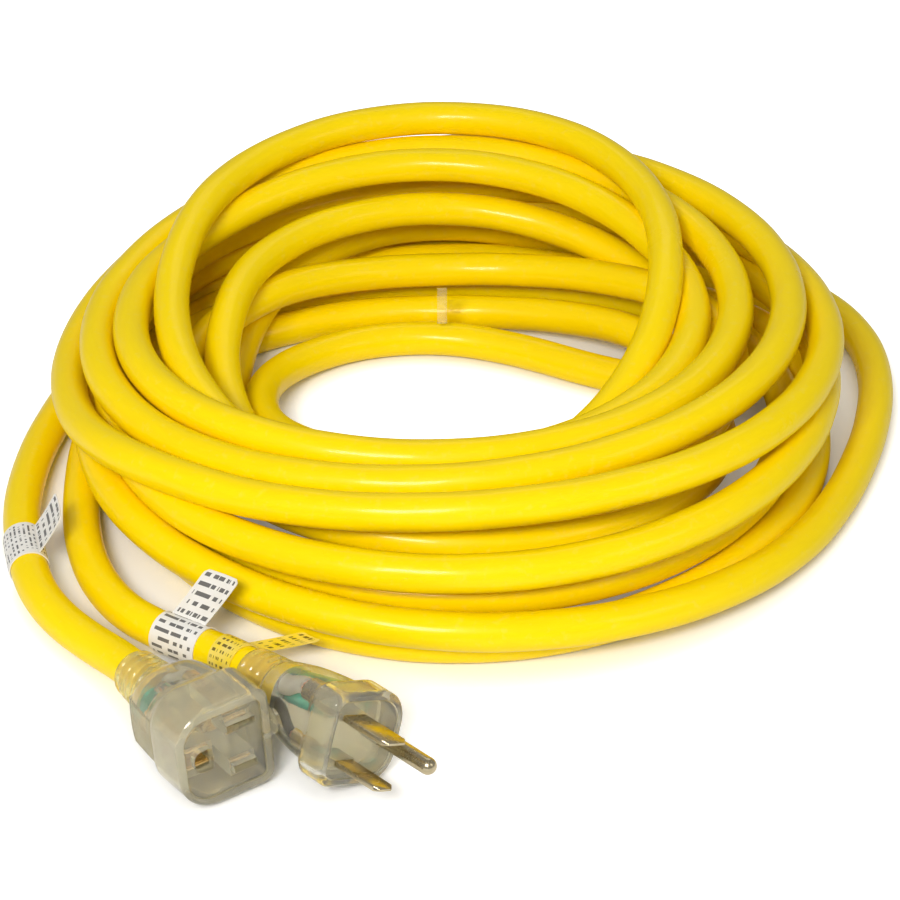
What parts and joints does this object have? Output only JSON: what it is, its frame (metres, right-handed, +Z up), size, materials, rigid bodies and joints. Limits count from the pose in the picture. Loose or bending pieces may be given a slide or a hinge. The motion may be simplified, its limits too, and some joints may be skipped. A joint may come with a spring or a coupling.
{
  "type": "grounded extension cord",
  "caption": "Coiled yellow extension cord with a clear grounded connector and a clear three-pin plug, with paper tags on both leads.",
  "frame": {"origin": "On the floor below the middle of the whole object's bounding box. The coil lies flat on the plane Z = 0, with its centre at X 0.004, Y 0.011.", "axes": "+Z up, out of the floor the coil lies on. -Y is the way the connector and the plug point. +X goes from the connector across the coil to the stray loop."},
  "size_m": [0.3158, 0.2726, 0.052],
  "materials": {
    "jacket": "glossy soft PVC, lightly wavy",
    "strain_relief": "clear PVC over the yellow jacket, satin",
    "clear_plastic": "clear moulded plastic, faint yellow-grey tint",
    "clear_film": "clear film",
    "contact_brass": "bright brass",
    "plug_brass": "polished brass",
    "black_insulation": "soft PVC",
    "white_insulation": "soft PVC",
    "green_insulation": "soft PVC",
    "lamp_glass": "clear glass",
    "lamp_wire": "bare copper wire",
    "resistor_body": "lacquered",
    "yellow_label": "satin film",
    "paper_tag": "satin coated paper"
  },
  "bodies": {
    "cord": {"coil_tie": "clear_film", "connector_ground_conductor": "green_insulation", "connector_ground_contact": "contact_brass", "connector_insert": "clear_plastic", "connector_jacket_end": "jacket", "connector_lead": "jacket", "connector_line_conductor": "black_insulation", "connector_line_contact": "contact_brass", "connector_neutral_conductor": "white_insulation", "connector_neutral_contact": "contact_brass", "connector_shell": "clear_plastic", "connector_strain_relief": "strain_relief", "connector_tag_flag": "paper_tag", "connector_tag_wrap": "paper_tag", "cord_coil": "jacket", "indicator_lamp": "lamp_glass", "indicator_lead": "lamp_wire", "indicator_resistor": "resistor_body", "plug_bridge": "clear_plastic", "plug_ground_conductor": "green_insulation", "plug_ground_pin": "plug_brass", "plug_jacket_end": "jacket", "plug_label_flag": "yellow_label", "plug_label_wrap": "yellow_label", "plug_lead": "jacket", "plug_line_blade": "plug_brass", "plug_line_conductor": "black_insulation", "plug_neutral_blade": "plug_brass", "plug_neutral_conductor": "white_insulation", "plug_shell": "clear_plastic", "plug_strain_relief": "strain_relief", "plug_tag_flag": "paper_tag", "plug_tag_wrap": "paper_tag", "stray_loop": "jacket"},
    "line_upper_leaf": {"connector_line_upper_leaf": "contact_brass"},
    "line_lower_leaf": {"connector_line_lower_leaf": "contact_brass"},
    "neutral_upper_leaf": {"connector_neutral_upper_leaf": "contact_brass"},
    "neutral_lower_leaf": {"connector_neutral_lower_leaf": "contact_brass"},
    "ground_upper_leaf": {"connector_ground_upper_leaf": "contact_brass"},
    "ground_lower_leaf": {"connector_ground_lower_leaf": "contact_brass"}
  },
  "joints": [
    {"name": "line_upper_flex", "type": "hinge", "parent": "cord", "child": "line_upper_leaf", "pos_m": [-0.13886, -0.08615, 0.00904], "axis": [-1, 0, 0], "range_deg": [0, 2], "stiffness_Nm_per_rad": 0.2},
    {"name": "line_lower_flex", "type": "hinge", "parent": "cord", "child": "line_lower_leaf", "pos_m": [-0.13886, -0.0864, 0.00701], "axis": [1, 0, 0], "range_deg": [0, 2], "stiffness_Nm_per_rad": 0.2},
    {"name": "neutral_upper_flex", "type": "hinge", "parent": "cord", "child": "neutral_upper_leaf", "pos_m": [-0.13886, -0.08461, 0.02165], "axis": [-1, 0, 0], "range_deg": [0, 2], "stiffness_Nm_per_rad": 0.2},
    {"name": "neutral_lower_flex", "type": "hinge", "parent": "cord", "child": "neutral_lower_leaf", "pos_m": [-0.13886, -0.08485, 0.01962], "axis": [1, 0, 0], "range_deg": [0, 2], "stiffness_Nm_per_rad": 0.2},
    {"name": "ground_upper_flex", "type": "hinge", "parent": "cord", "child": "ground_upper_leaf", "pos_m": [-0.15076, -0.08518, 0.01698], "axis": [-1, 0, 0], "range_deg": [0, 2], "stiffness_Nm_per_rad": 0.2},
    {"name": "ground_lower_flex", "type": "hinge", "parent": "cord", "child": "ground_lower_leaf", "pos_m": [-0.15076, -0.08583, 0.01168], "axis": [1, 0, 0], "range_deg": [0, 2], "stiffness_Nm_per_rad": 0.2}
  ]
}
